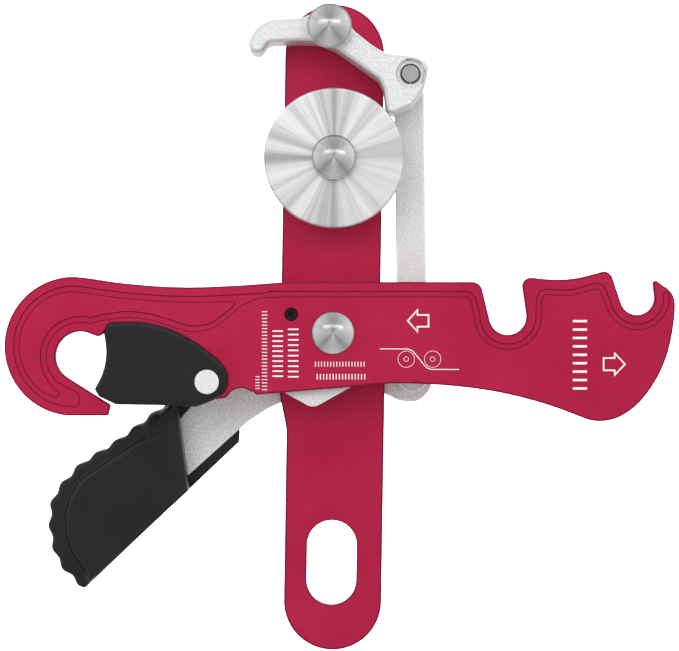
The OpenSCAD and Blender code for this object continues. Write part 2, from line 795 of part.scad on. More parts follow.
rear_plate();
hub_bush();
bobbin_sheave();
bobbin_dowel();
bobbin_screw();
bobbin_nut();
top_pin();
top_pin_washer();
top_pin_nut();
handle_spring();
swing_plate();
swing_stop_pin();
swing_washer();
gate_rivet();
gate_spring();
gate();
cam();
pivot_axle();
axle_washer();
axle_nut();
handle_arm();
grip_front();
grip_rear();
grip_screws();
link_lower_pin();
link_lower_clip();
link_bar();
brake_lever();
lever_bush();
link_upper_pin();
link_upper_clip();
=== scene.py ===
import json
import math

import bmesh
import bpy
import numpy as np
from mathutils import Matrix, Vector
from mathutils.geometry import delaunay_2d_cdt, tessellate_polygon


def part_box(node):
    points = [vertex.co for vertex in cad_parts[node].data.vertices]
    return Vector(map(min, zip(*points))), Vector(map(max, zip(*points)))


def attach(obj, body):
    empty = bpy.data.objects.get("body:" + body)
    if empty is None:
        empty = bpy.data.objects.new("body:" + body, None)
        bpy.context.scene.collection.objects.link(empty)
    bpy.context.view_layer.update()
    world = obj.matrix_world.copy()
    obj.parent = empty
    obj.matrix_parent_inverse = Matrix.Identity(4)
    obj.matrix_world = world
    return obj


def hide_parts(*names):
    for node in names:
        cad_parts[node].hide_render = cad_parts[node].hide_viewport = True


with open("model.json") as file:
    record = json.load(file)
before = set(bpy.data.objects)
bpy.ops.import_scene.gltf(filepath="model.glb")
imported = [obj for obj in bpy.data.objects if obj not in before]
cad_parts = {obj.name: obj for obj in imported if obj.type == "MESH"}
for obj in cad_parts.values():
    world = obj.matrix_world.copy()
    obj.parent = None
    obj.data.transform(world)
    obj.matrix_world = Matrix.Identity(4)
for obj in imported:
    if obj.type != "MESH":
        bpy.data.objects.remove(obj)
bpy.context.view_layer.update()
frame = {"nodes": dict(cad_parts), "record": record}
nodes = frame["nodes"]

MM = 0.001
LEAN = math.radians(0.9)  # the open swing plate and the camera's level are turned by this
slot_of = {s["node"]: s["material_slot"] for s in frame["record"]["subparts"]}
body_of = {n: b for b, names in frame["record"]["behaviour"]["bodies"].items() for n in names}

# ---------------------------------------------------------------- places taken from the frame


def centre(node):
    """The middle of a CAD node's box, in X and Z (mm)."""
    lo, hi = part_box(node)
    mid = (lo + hi) / 2
    return mid.x / MM, mid.z / MM


def half_width(node):
    """Half the width of a CAD node's box in X (mm)."""
    lo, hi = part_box(node)
    return (hi.x - lo.x) / 2 / MM


def depth(node):
    """The front and the back of a CAD node's box in Y (mm)."""
    lo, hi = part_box(node)
    return lo.y / MM, hi.y / MM


PIVOT = centre("pivot_axle")
BOBBIN = centre("bobbin_screw")
TOP = centre("top_pin")
LINK_TOP = centre("link_upper_pin")
LINK_LOW = centre("link_lower_pin")
RIVET = centre("gate_rivet")
SWING_FRONT, SWING_BACK = depth("swing_plate")
REAR_FRONT = depth("rear_plate")[0]
LEVER_FRONT, LEVER_BACK = depth("brake_lever")
BOBBIN_FRONT, BOBBIN_BACK = depth("bobbin_sheave")


def open_plate(u, v):
    """A point drawn square to the open swing plate about the pivot, in X and Z (mm)."""
    c, s = math.cos(LEAN), math.sin(LEAN)
    return PIVOT[0] + u * c - v * s, PIVOT[1] + u * s + v * c


# ---------------------------------------------------------------- materials


def linear(r, g, b):
    """A screen colour in 0 to 255 as the linear colour that a socket takes."""
    def one(c):
        c /= 255
        return c / 12.92 if c <= 0.04045 else ((c + 0.055) / 1.055) ** 2.4
    return one(r), one(g), one(b), 1.0


def grey(v):
    """A linear grey as a colour."""
    return v, v, v, 1


class Look:
    """A node material on the Principled shader; textures are laid out in millimetres."""

    def __init__(self, name, metallic, roughness, **sockets):
        self.m = bpy.data.materials.new(name)
        self.m.use_nodes = True
        self.t = self.m.node_tree
        self.b = self.t.nodes["Principled BSDF"]
        self.b.inputs["Metallic"].default_value = metallic
        self.b.inputs["Roughness"].default_value = roughness
        for k, v in sockets.items():
            self.b.inputs[k.replace("_", " ")].default_value = v
        tc = self.t.nodes.new("ShaderNodeTexCoord")
        self.co = self.stretch(tc.outputs["Object"], (1000, 1000, 1000))
        self.normal = None

    def put(self, n, key, v):
        """Links or sets a node's input, named by its number or by its name with _ for spaces."""
        sock = n.inputs[int(key) if key.isdigit() else key.replace("_", " ")]
        if isinstance(v, bpy.types.NodeSocket):
            self.t.links.new(v, sock)
        else:
            sock.default_value = v

    def node(self, kind, **inputs):
        n = self.t.nodes.new(kind)
        for k, v in inputs.items():
            self.put(n, k, v)
        return n

    def stretch(self, vector, scale):
        n = self.node("ShaderNodeMapping", Vector=vector)
        n.inputs["Scale"].default_value = scale
        return n.outputs[0]

    def noise(self, scale, detail=3.0, rough=0.55, vector=None):
        return self.node("ShaderNodeTexNoise", Vector=vector or self.co, Scale=scale,
                         Detail=detail, Roughness=rough).outputs["Fac"]

    def math(self, op, a, b=0.0):
        n = self.t.nodes.new("ShaderNodeMath")
        n.operation = op
        self.put(n, "0", a)
        self.put(n, "1", b)
        return n.outputs[0]

    def span(self, v, a0, a1, b0, b1):
        """Goes from b0 to b1 as v goes from a0 to a1, and stays there beyond."""
        return self.node("ShaderNodeMapRange", Value=v, From_Min=a0, From_Max=a1, To_Min=b0,
                         To_Max=b1).outputs[0]

    def mix(self, f, a, b):
        n = self.t.nodes.new("ShaderNodeMix")
        n.data_type = "RGBA"
        for key, v in (("0", f), ("6", a), ("7", b)):
            self.put(n, key, v)
        return n.outputs[2]

    def colour(self, v):
        self.t.links.new(v, self.b.inputs["Base Color"])

    def rough(self, v, lo, hi):
        """Roughness from lo to hi over the middle of a noise's range."""
        self.t.links.new(self.span(v, 0.3, 0.7, lo, hi), self.b.inputs["Roughness"])

    def bump(self, h, mm, strength):
        """Relief of a height in mm, on top of the relief given before."""
        n = self.node("ShaderNodeBump", Height=h, Strength=strength, Distance=mm * MM)
        if self.normal:
            self.t.links.new(self.normal, n.inputs["Normal"])
        self.normal = n.outputs["Normal"]
        self.t.links.new(self.normal, self.b.inputs["Normal"])

    def edges(self, lo, hi, top):
        """Goes from 0 to top where the mesh's corners stand out."""
        g = self.t.nodes.new("ShaderNodeNewGeometry")
        return self.span(g.outputs["Pointiness"], lo, hi, 0, top)

    def rims(self, tone, worn, groove=None, share=0.5):
        """Tones the rounded rims and the grooves from the mesh's rim value. worn is the rims' tone:
        paler wear on blasted_alu, darker on cast_alu, painted shade on the red plate. groove is
        painted shade, a dark line along the grooves.
        """
        a = self.t.nodes.new("ShaderNodeAttribute")
        a.attribute_name = "rim"
        tone = self.mix(self.span(a.outputs["Fac"], 0, 1, 0, share), tone, worn)
        if groove:
            tone = self.mix(self.span(a.outputs["Fac"], -1, 0, 1, 0), tone, groove)
        return tone


RED, RED_CLOUD = linear(179, 27, 69), linear(187, 36, 79)
RED_GRAIN, RED_DRAWN = linear(160, 20, 56), linear(205, 60, 98)
# The red plate's rims and groove walls: painted shade.
RED_RIM_SHADE, RED_GROOVE_SHADE = linear(112, 14, 42), linear(96, 10, 34)
ALU_CLOUD, ALU_STAIN = linear(214, 220, 218), linear(226, 214, 168)
PRINT_WORN = linear(205, 120, 140)


def make_red():
    """Satin anodising: clouds, a fine grain and faint lines along X, with painted shade on rims and
    grooves.
    """
    k = Look("red_anodised", 0.5, 0.42, Specular_IOR_Level=0.25)
    cloud = k.noise(0.03, 2)
    grain = k.noise(3.2, 3, 0.65)
    drawn = k.noise(1.6, 2, 0.6, k.stretch(k.co, (0.12, 1, 1)))
    tone = k.mix(k.span(cloud, 0.35, 0.65, 0, 1), RED, RED_CLOUD)
    tone = k.mix(k.span(grain, 0.38, 0.66, 0, 0.5), tone, RED_GRAIN)
    tone = k.mix(k.span(drawn, 0.45, 0.7, 0, 0.10), tone, RED_DRAWN)
    # Painted shade darkens the rounded rims and the groove walls.
    k.colour(k.rims(tone, RED_RIM_SHADE, RED_GROOVE_SHADE, 0.85))
    k.rough(k.noise(0.9, 4), 0.38, 0.52)
    k.bump(grain, 0.015, 0.3)
    return k.m


def make_blasted(name, low, rim, metallic, rough, lumps=0.0):
    """Blasted metal: specks from the tone low up, rims in the tone rim, and lumps in mm if cast."""
    k = Look(name, metallic, rough, Specular_IOR_Level=0.5)
    speck = k.noise(2.9, 2, 0.6)
    fine = k.noise(6.0, 2, 0.7)
    cloud = k.noise(0.05, 3)
    tone = k.mix(k.span(speck, 0.40, 0.60, 0, 1), grey(low), grey(0.96))
    tone = k.mix(k.span(fine, 0.46, 0.60, 0, 0.6), tone, grey(0.97))
    tone = k.mix(k.span(cloud, 0.4, 0.6, 0.1, 0.3), tone, ALU_CLOUD)
    k.colour(k.rims(tone, grey(rim)))
    k.rough(speck, rough * 0.8, rough * 1.24)
    k.bump(speck, 0.07, 0.5)
    k.bump(fine, 0.03, 0.4)
    if lumps:
        k.bump(k.noise(1.0, 3, 0.6), lumps, 0.8)
    return k.m


def make_turned(name, base, metallic, rough, fans, painted_wedges, rim_shade_from):
    """A lathe-turned face with painted reflection: fans of painted light and shade run out from the
    piece's own Y axis.

    fans is how strong the fine painted streaks are. painted_wedges are broad painted highlights and
    shades: (angle, sharpness, strength, tone). The rim past the radius rim_shade_from (mm) is
    darker, a painted shade.
    """
    k = Look(name, metallic, rough, Anisotropic=0.4)
    sep = k.node("ShaderNodeSeparateXYZ", Vector=k.co)
    x, z = sep.outputs[0], sep.outputs[2]
    rad = k.math("SQRT", k.math("ADD", k.math("MULTIPLY", x, x), k.math("MULTIPLY", z, z)))
    ca = k.math("DIVIDE", x, k.math("MAXIMUM", rad, 0.001))
    sa = k.math("DIVIDE", z, k.math("MAXIMUM", rad, 0.001))
    way = k.node("ShaderNodeCombineXYZ", X=ca, Y=sa, Z=k.math("MULTIPLY", rad, 0.0015)).outputs[0]
    broad, middle, fine = (k.noise(scale, detail, rough_by, way) for scale, detail, rough_by in
                           ((2.4, 1, 0.5), (7.0, 2, 0.6), (16.0, 2, 0.6)))
    # Painted reflection: streaks of light and shade that fan out from the axis.
    tone = k.mix(k.span(broad, 0.42, 0.58, 0, 1), grey(base * (1 - 0.4 * fans)), grey(base))
    tone = k.mix(k.span(middle, 0.45, 0.60, 0, 0.5 * fans), tone, grey(base))
    tone = k.mix(k.span(fine, 0.48, 0.7, 0, 0.4 * fans), tone, grey(base * 0.45))
    # Painted highlights and shade in broad wedges.
    for angle, sharp, strength, shade in painted_wedges:
        a = math.radians(angle)
        along = k.math("ADD", k.math("MULTIPLY", ca, math.cos(a)),
                       k.math("MULTIPLY", sa, math.sin(a)))
        fan = k.math("POWER", k.math("MAXIMUM", along, 0.0), sharp)
        tone = k.mix(k.math("MULTIPLY", fan, strength), tone, grey(shade))
    ring_at = k.node("ShaderNodeCombineXYZ", X=rad).outputs[0]
    rings = k.noise(4.0, 3, 0.75, ring_at)
    tone = k.mix(k.span(rings, 0.4, 0.7, 0, 0.22), tone, grey(base * 0.5))
    tone = k.mix(k.span(k.noise(0.5, 2), 0.52, 0.7, 0, 0.10), tone, ALU_STAIN)
    # Painted shade on the outer rim.
    tone = k.mix(k.span(rad, rim_shade_from - 0.15, rim_shade_from + 0.1, 0, 0.5), tone, grey(0.2))
    k.colour(tone)
    k.rough(rings, rough * 0.8, rough * 1.4)
    k.bump(rings, 0.03 * base, 0.5)
    tan = k.t.nodes.new("ShaderNodeTangent")
    tan.direction_type = "RADIAL"
    tan.axis = "Y"
    k.t.links.new(tan.outputs[0], k.b.inputs["Tangent"])
    return k.m


def make_steel(name, base, rough, streak=0.25, tint=None, metallic=1.0):
    """Plated or polished metal with fine lines; tint colours bronze."""
    k = Look(name, metallic, rough)
    fine = k.noise(1.2, 4, 0.6)
    lines = k.noise(2.4, 3, 0.7, k.stretch(k.co, (0.5, 5, 5)))
    tone = k.mix(k.span(fine, 0.35, 0.65, 0, 1), grey(base * 0.92), grey(min(0.95, base * 1.06)))
    tone = k.mix(k.span(lines, 0.45, 0.7, 0, streak), tone, grey(base * 0.65))
    if tint:
        tone = k.mix(k.span(fine, 0.3, 0.7, 0.7, 0.9), tone, tint)
    k.colour(tone)
    k.rough(fine, rough * 0.85, rough * 1.2)
    k.bump(lines, 0.004, 0.3)
    return k.m


def make_black(name, base, rough, grain):
    """Moulded black: fine pits grain mm deep, and corners worn a little paler."""
    k = Look(name, 0.0, rough, Specular_IOR_Level=0.36)
    pits = k.noise(2.2, 3, 0.65)
    cloud = k.noise(0.06, 3)
    tone = k.mix(k.span(cloud, 0.35, 0.65, 0, 1), grey(base * 0.85), grey(base * 1.25))
    tone = k.mix(k.span(pits, 0.55, 0.75, 0, 0.4), tone, grey(base * 1.9))
    tone = k.mix(k.edges(0.51, 0.56, 0.1), tone, grey(base * 3))
    k.colour(tone)
    k.rough(pits, rough * 0.82, rough * 1.2)
    k.bump(pits, grain, 0.45)
    return k.m


def make_print():
    """White print, worn thin in places."""
    k = Look("print_white", 0.0, 0.55)
    worn = k.noise(2.0, 4, 0.7)
    k.colour(k.mix(k.span(worn, 0.35, 0.6, 0.3, 0.0), grey(0.85), PRINT_WORN))
    k.rough(worn, 0.5, 0.65)
    k.bump(worn, 0.006, 0.4)
    return k.m


# Broad fans of painted highlight and painted shade on the turned faces: (angle, sharpness,
# strength, tone).
BOBBIN_PAINTED_FANS = ((4, 420, 0.5, 0.24), (181, 110, 0.75, 0.24), (91, 420, 0.6, 0.24),
               (269, 500, 0.5, 0.24), (350, 12, 0.55, 0.97), (285, 30, 0.3, 0.5))
HEAD_PAINTED_FANS = ((90, 4, 0.75, 0.30), (268, 14, 0.75, 0.98), (15, 9, 0.4, 0.9),
             (228, 40, 0.5, 0.22), (312, 40, 0.4, 0.22))

MAT = {
    "red_anodised": make_red(),
    "blasted_alu": make_blasted("blasted_alu", 0.44, 0.95, 0.45, 0.5),
    "cast_alu": make_blasted("cast_alu", 0.62, 0.55, 0.65, 0.38, 0.35),
    "turned_alu": make_turned("turned_alu", 1.0, 0.75, 0.3, 1.0, BOBBIN_PAINTED_FANS,
                              half_width("bobbin_sheave") - 0.4),
    "domed_steel": make_turned("domed_steel", 0.68, 1.0, 0.19, 0.3, HEAD_PAINTED_FANS,
                               half_width("pivot_axle") - 0.3),
    "polished_steel": make_steel("polished_steel", 0.60, 0.17, 0.12),
    "bright_rivet": make_steel("bright_rivet", 0.82, 0.42, 0.05, metallic=0.55),
    "zinc_steel": make_steel("zinc_steel", 0.55, 0.33),
    "spring_steel": make_steel("spring_steel", 0.13, 0.34),
    "bronze": make_steel("bronze", 0.5, 0.32, tint=(0.62, 0.40, 0.16, 1)),
    "black_nylon": make_black("black_nylon", 0.0055, 0.36, 0.03),
    "black_rubber": make_black("black_rubber", 0.004, 0.7, 0.06),
    "print_white": make_print(),
}

# ---------------------------------------------------------------- mesh helpers


def new_piece(name, bm, body, slot, stand_for=(), sharp=32, at=None, look=None):
    """Turns a bmesh in millimetres into a piece on a body, in place of the CAD nodes named.

    Edges that turn by more than sharp degrees stay sharp. at is the piece's own origin, and
    look its material where that isn't the slot's.
    """
    if at:
        bmesh.ops.translate(bm, verts=bm.verts, vec=-Vector(at))
    bmesh.ops.recalc_face_normals(bm, faces=bm.faces)
    bm.normal_update()
    for f in bm.faces:
        f.smooth = True
    for e in bm.edges:
        e.smooth = len(e.link_faces) == 2 and e.calc_face_angle(0) < math.radians(sharp)
    bmesh.ops.scale(bm, verts=bm.verts, vec=(MM, MM, MM))
    me = bpy.data.meshes.new(name)
    bm.to_mesh(me)
    bm.free()
    ob = bpy.data.objects.new(name, me)
    bpy.context.scene.collection.objects.link(ob)
    if at:
        ob.location = Vector(at) * MM
    me.materials.append(MAT[look or slot])
    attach(ob, body)
    if stand_for:
        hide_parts(*stand_for)


def node_mesh(name):
    """A CAD node's own mesh in millimetres, its doubled points joined."""
    bm = bmesh.new()
    bm.faces.layers.float.new("rim")
    bm.from_mesh(nodes[name].data)
    bmesh.ops.transform(bm, matrix=nodes[name].matrix_world, verts=bm.verts)
    bmesh.ops.scale(bm, verts=bm.verts, vec=(1000, 1000, 1000))
    bmesh.ops.remove_doubles(bm, verts=bm.verts, dist=0.003)
    bmesh.ops.dissolve_degenerate(bm, dist=0.002, edges=bm.edges)
    return bm


LEVEL = 0.01  # a point this near to a depth counts as on it


def face_patches(bm, y):
    """The groups of faces that lie at depth y, as dicts, whose order is the same each run."""
    left = {f: True for f in bm.faces if all(abs(v.co.y - y) < LEVEL for v in f.verts)}
    groups = []
    while left:
        first = next(iter(left))
        del left[first]
        group, todo = {first: True}, [first]
        while todo:
            for e in todo.pop().edges:
                for g in e.link_faces:
                    if left.pop(g, False):
                        group[g] = True
                        todo.append(g)
        groups.append(group)
    return groups


def rim_loops(group):
    """The closed rims of a group of faces, as ordered lists of points of the mesh."""
    nxt = {}
    for f in group:
        for lp in f.loops:
            if sum(g in group for g in lp.edge.link_faces) == 1:
                nxt.setdefault(lp.vert, []).append(lp.link_loop_next.vert)
    loops = []
    while nxt:
        start = next(iter(nxt))
        loop, v = [], start
        while v in nxt:
            loop.append(v)
            w = nxt[v].pop()
            if not nxt[v]:
                del nxt[v]
            v = w
        loops.append(loop)
    return loops


def flat(v):
    """A mesh point's place in X and Z."""
    return v.co.x, v.co.z


def signed_area(p):
    """The area in a closed outline, positive where it runs anticlockwise in X and Z."""
    return 0.5 * sum(a[0] * b[1] - b[0] * a[1] for a, b in zip(p, p[1:] + p[:1]))


def shifted(p, d, step=0.12):
    """A closed outline moved to its left by d, point for point, with no point overtaking."""
    n = len(p)
    p = [Vector(q) for q in p]
    times = max(1, math.ceil(abs(d) / step))
    for _ in range(times):
        seg = []
        for i in range(n):
            s = p[(i + 1) % n] - p[i]
            seg.append(s.normalized() if s.length > 1e-5 else None)
        moved = []
        for i in range(n):
            a = next((seg[(i - 1 - k) % n] for k in range(n) if seg[(i - 1 - k) % n]), None)
            b = next((seg[(i + k) % n] for k in range(n) if seg[(i + k) % n]), None)
            na, nb = Vector((-a.y, a.x)), Vector((-b.y, b.x))
            m = na + nb
            m = m.normalized() if m.length > 1e-4 else na
            moved.append(p[i] + m * (d / times) / max(0.6, m.dot(na)))
        for _ in range(2):
            for i in range(n):
                j = (i + 1) % n
                if seg[i] and (moved[j] - moved[i]).dot(seg[i]) <= 0:
                    moved[i] = moved[j] = (moved[i] + moved[j]) / 2
        p = moved
    return [(q.x, q.y) for q in p]


GROOVE_RIM = 0.2  # a rim with a smaller radius belongs to a groove
HOLD = 0.12  # width of the flat strip that keeps a rim's shading off the face


def ring(bm, p, y):
    """Mesh points at depth y along an outline."""
    return [bm.verts.new((q[0], y, q[1])) for q in p]


def wall(bm, a, b):
    """The faces between two closed rings of as many points."""
    n = len(a)
    return [bm.faces.new((a[i], a[(i + 1) % n], b[(i + 1) % n], b[i])) for i in range(n)]


def fill(bm, rings):
    """A flat face between an outer ring and the rings inside it."""
    flat_rings = [[Vector((v.co.x, v.co.z, 0)) for v in r] for r in rings]
    verts = [v for r in rings for v in r]
    for tri in tessellate_polygon(flat_rings):
        if len({verts[i] for i in tri}) == 3:
            try:
                bm.faces.new([verts[i] for i in tri])
            except ValueError:
                pass  # the mesh has this face already


def reface(bm, y, into, radius_of, steps=5):
    """Rounds over the rims of the flat faces at depth y.

    into is +1 where the solid lies at greater y. radius_of(loop, outer) gives each rim's
    radius. A rim under GROOVE_RIM belongs to a groove, and its faces are marked for a dark line of
    painted shade.
    """
    rim = bm.faces.layers.float["rim"]
    for group in face_patches(bm, y):
        loops = rim_loops(group)
        loops.sort(key=lambda lp: -abs(signed_area([flat(v) for v in lp])))
        bmesh.ops.delete(bm, geom=list(group), context="FACES")
        rings = []
        for k, loop in enumerate(loops):
            outer = k == 0
            loop = [v for v in loop if v.is_valid]
            pts = [flat(v) for v in loop]
            r = radius_of(pts, outer)
            inward = (1 if signed_area(pts) > 0 else -1) * (1 if outer else -1)
            for v in loop:
                v.co.y = y + into * r
            made, last = [], loop
            for s in range(1, steps + 1):
                t = math.pi / 2 * s / steps
                out, drop = r * (1 - math.cos(t)), r * (1 - math.sin(t))
                nxt = ring(bm, shifted(pts, inward * out), y + into * drop)
                made += wall(bm, last, nxt)
                last = nxt
            hold = ring(bm, shifted(pts, inward * (r + HOLD)), y)
            made += wall(bm, last, hold)
            for f in made:
                # -1 marks a groove's walls for painted shade; 1 marks a rounded rim for the rim
                # tone.
                f[rim] = -1 if r < GROOVE_RIM else 1
            rings.append(hold)
        fill(bm, rings)


def clean(bm):
    """Joins doubled points, and takes out faces without area and loose points."""
    for _ in range(2):
        bmesh.ops.remove_doubles(bm, verts=bm.verts, dist=0.004)
        bmesh.ops.dissolve_degenerate(bm, dist=0.003, edges=bm.edges)
    loose = [v for v in bm.verts if not v.link_faces]
    bmesh.ops.delete(bm, geom=loose, context="VERTS")


def sizes(outer, hole):
    """Rim radii for reface: one for outlines, one for holes."""
    return lambda pts, is_outer: outer if is_outer else hole


def rounded_copy(name, front, back):
    """A CAD node's shape with its front and back rims rounded by (outline, holes) radii."""
    bm = node_mesh(name)
    y0, y1 = depth(name)
    reface(bm, y0, 1, sizes(*front))
    reface(bm, y1, -1, sizes(*back))
    clean(bm)
    new_piece(name + "_skin", bm, body_of[name], slot_of[name], (name,))


def lathe(profile, at, turns):
    """A turned closed solid of that many sides about a Y axis: profile is (radius, depth)."""
    bm = bmesh.new()
    rings = []
    for r, y in profile:
        if r < 1e-6:
            rings.append([bm.verts.new((at[0], y, at[1]))])
        else:
            rings.append([bm.verts.new((at[0] + r * math.cos(2 * math.pi * k / turns), y,
                                        at[1] + r * math.sin(2 * math.pi * k / turns)))
                          for k in range(turns)])
    pairs = list(zip(rings, rings[1:]))
    if len(rings[0]) > 1:
        pairs.append((rings[-1], rings[0]))
    for a, b in pairs:
        for i in range(turns):
            j = (i + 1) % turns
            quad = (a[i % len(a)], a[j % len(a)], b[j % len(b)], b[i % len(b)])
            face = list(dict.fromkeys(quad))
            if len(face) > 2:
                bm.faces.new(face)
    return bm


def fillet(cr, cy, r, a0, a1, n=6):
    """Points of a rounded corner in a profile, as (radius, depth)."""
    return [(cr + r * math.cos(math.radians(a0 + (a1 - a0) * k / n)),
             cy + r * math.sin(math.radians(a0 + (a1 - a0) * k / n))) for k in range(n + 1)]


def tube(path, radius, sides=12):
    """A round wire along a path of points, closed at both ends."""
    bm = bmesh.new()
    rings = []
    up = Vector((0, 0, 1))
    for i, p in enumerate(path):
        t = (Vector(path[min(i + 1, len(path) - 1)]) - Vector(path[max(i - 1, 0)])).normalized()
        side = t.cross(up)
        if side.length < 0.2:
            side = t.cross(Vector((0, 1, 0)))
        side.normalize()
        up = side.cross(t).normalized()
        rings.append([bm.verts.new(Vector(p) + radius * (math.cos(a) * side + math.sin(a) * up))
                      for a in (2 * math.pi * k / sides for k in range(sides))])
    for a, b in zip(rings, rings[1:]):
        wall(bm, a, b)
    bm.faces.new(rings[0])
    bm.faces.new(list(reversed(rings[-1])))
    return bm


# ---------------------------------------------------------------- plates, arm, link, lever

rounded_copy("rear_plate", (0.5, 0.3), (0.5, 0.3))
rounded_copy("handle_arm", (0.55, 0.25), (0.55, 0.25))
rounded_copy("link_bar", (0.5, 0.25), (0.5, 0.25))

lever_rims = sizes(1.1, 0.3)
bm = node_mesh("brake_lever")
reface(bm, LEVER_FRONT, 1, lever_rims)
reface(bm, LEVER_BACK, -1, lever_rims)
clean(bm)
new_piece("brake_lever_skin", bm, "lever_body", "blasted_alu", ("brake_lever",), sharp=40,
          look="cast_alu")

# The plate's own outline has more points than this. The front's other rims are groove edges.
OUTLINE_POINTS = 150
SWING_RIM, SWING_GROOVE = 0.4, 0.14


def swing_front_rims(pts, outer):
    return SWING_RIM if outer and len(pts) > OUTLINE_POINTS else SWING_GROOVE


bm = node_mesh("swing_plate")
reface(bm, SWING_FRONT, 1, swing_front_rims)
reface(bm, SWING_BACK, -1, sizes(SWING_RIM, 0.25))
clean(bm)
new_piece("swing_plate_skin", bm, "swing_body", "red_anodised", ("swing_plate",))

# ---------------------------------------------------------------- gate and grip

COVER_FRONT, COVER_BACK = depth("grip_front")
SHELL_FRONT, SHELL_BACK = depth("grip_rear")


def distances(points, loop):
    """Signed distance of each point to a closed outline, positive inside."""
    p = np.array(points)[:, None, :]
    a = np.array(loop)
    b = np.roll(a, -1, axis=0)
    ab = b - a
    t = ((p - a) * ab).sum(2) / np.maximum((ab * ab).sum(1), 1e-12)
    near = a + np.clip(t, 0, 1)[..., None] * ab
    d = np.sqrt(((p - near) ** 2).sum(2)).min(1)
    x, z = p[..., 0], p[..., 1]
    crosses = ((a[:, 1] > z) != (b[:, 1] > z)) & (
        x < a[:, 0] + (z - a[:, 1]) * ab[:, 0] / np.where(ab[:, 1] == 0, 1e-12, ab[:, 1]))
    inside = crosses.sum(1) % 2 == 1
    return np.where(inside, d, -d)


def ease(x):
    """A smooth rise from 0 to 1 as x goes from 0 to 1."""
    x = np.clip(x, 0, 1)
    return x * x * (3 - 2 * x)


def dense(p, step):
    """A closed outline with extra points, so that none are more than a step apart."""
    out = []
    for a, b in zip(p, p[1:] + p[:1]):
        n = max(1, math.ceil(math.dist(a, b) / step))
        out += [(a[0] + (b[0] - a[0]) * k / n, a[1] + (b[1] - a[1]) * k / n) for k in range(n)]
    return out


CLOSE = 0.6  # spacing of the points along the rings below
RIM_RINGS = (0.12, 0.35, 0.7, 1.15, 1.7)  # how far in from the outline they lie
STEP_RINGS = (-0.6, -0.2, 0.2, 0.6, 1.0)  # and how far in from the raised panel's outline
RING_ROOM, GRID_ROOM = 0.08, 2.0  # how far inside the outline a ring's or the grid's points lie
STEP_ROOM, HOLE_ROOM = 0.3, 0.25  # how far the grid stays off the step, and all points off holes


def grid(edge, spacing):
    """Points in staggered rows all over the box round an outline."""
    xs, zs = [q[0] for q in edge], [q[1] for q in edge]
    out, x, row = [], min(xs), 0
    while x < max(xs):
        z = min(zs) + (spacing / 2 if row % 2 else 0)
        while z < max(zs):
            out.append((x, z))
            z += spacing
        x += spacing * 0.87
        row += 1
    return out


def relief(bm, y_low, y_top, into, round_at, spacing, height_of):
    """Swaps a two-step face for one moulded surface that keeps the outline and the holes.

    The face lies at depth y_low, with a raised panel at y_top. height_of(points, distance into
    the panel) gives the new height over y_low, and round_at(points) the outline's radius. The
    surface has a grid of points, and closer rings of them where it curves most.
    """
    low, top = face_patches(bm, y_low), face_patches(bm, y_top)
    outline = max((lp for g in low for lp in rim_loops(g)),
                  key=lambda lp: abs(signed_area([flat(v) for v in lp])))
    top_loops = sorted((lp for g in top for lp in rim_loops(g)),
                       key=lambda lp: -abs(signed_area([flat(v) for v in lp])))
    panel = [flat(v) for v in top_loops[0]]
    holes = top_loops[1:]
    gone = [f for f in bm.faces
            if all(min(abs(v.co.y - y_low), abs(v.co.y - y_top)) < LEVEL for v in f.verts)]
    bmesh.ops.delete(bm, geom=gone, context="FACES")
    outline = [v for v in outline if v.is_valid]
    edge = [flat(v) for v in outline]
    sign = 1 if signed_area(edge) > 0 else -1
    # The new surface's points: the kept outline and holes first, then the rings and the grid.
    rims = [outline] + holes
    verts = [v for r in rims for v in r]
    pts = [flat(v) for v in verts]
    links, at = [], 0
    for r in rims:
        links += [(at + i, at + (i + 1) % len(r)) for i in range(len(r))]
        at += len(r)
    fixed = len(pts)
    for d in RIM_RINGS:
        pts += shifted(dense(edge, CLOSE), sign * d)
    rim_pts = len(pts)
    if y_low != y_top:
        turn = 1 if signed_area(panel) > 0 else -1
        for d in STEP_RINGS:
            pts += shifted(dense(panel, CLOSE), turn * d)
    step_pts = len(pts)
    pts += grid(edge, spacing)
    inner = distances(pts, edge)
    by_step = distances(pts, panel)
    step_from, step_to = STEP_RINGS[0] - STEP_ROOM, STEP_RINGS[-1] + STEP_ROOM
    ok = list(range(fixed))
    for k in range(fixed, len(pts)):
        on_step = y_low != y_top and step_from < by_step[k] < step_to
        if inner[k] > (RING_ROOM if k < rim_pts else GRID_ROOM) and (k < step_pts or not on_step):
            ok.append(k)
    for h in holes:
        around = distances([pts[k] for k in ok], [flat(v) for v in h])
        ok = [k for k, q in zip(ok, around) if k < fixed or q < -HOLE_ROOM]
    pts = [pts[k] for k in ok]
    inner = inner[ok]
    # Their depths, and the faces between them.
    raised = distances(pts, panel)
    lift = height_of(np.array(pts), raised)
    round_by = round_at(np.array(pts))
    over = np.clip(round_by - inner, 0, round_by)
    drop = round_by - np.sqrt(np.maximum(round_by ** 2 - over ** 2, 0))
    made = list(verts)
    for k in range(len(pts)):
        y = y_low - into * lift[k] + into * drop[k]
        if k < len(verts):
            verts[k].co.y = y
        else:
            made.append(bm.verts.new((pts[k][0], y, pts[k][1])))
    places, _, tris, orig = delaunay_2d_cdt([Vector(q) for q in pts], links, [], 0, 0.0005)[:4]
    mids = [((places[t[0]].x + places[t[1]].x + places[t[2]].x) / 3,
             (places[t[0]].y + places[t[1]].y + places[t[2]].y) / 3) for t in tris]
    good = distances(mids, edge) > 0
    for h in holes:
        good &= distances(mids, [flat(v) for v in h]) < 0
    for tri, use in zip(tris, good):
        if use:
            corners = [made[orig[i][0]] for i in tri]
            if len(set(corners)) == 3:
                bm.faces.new(corners)


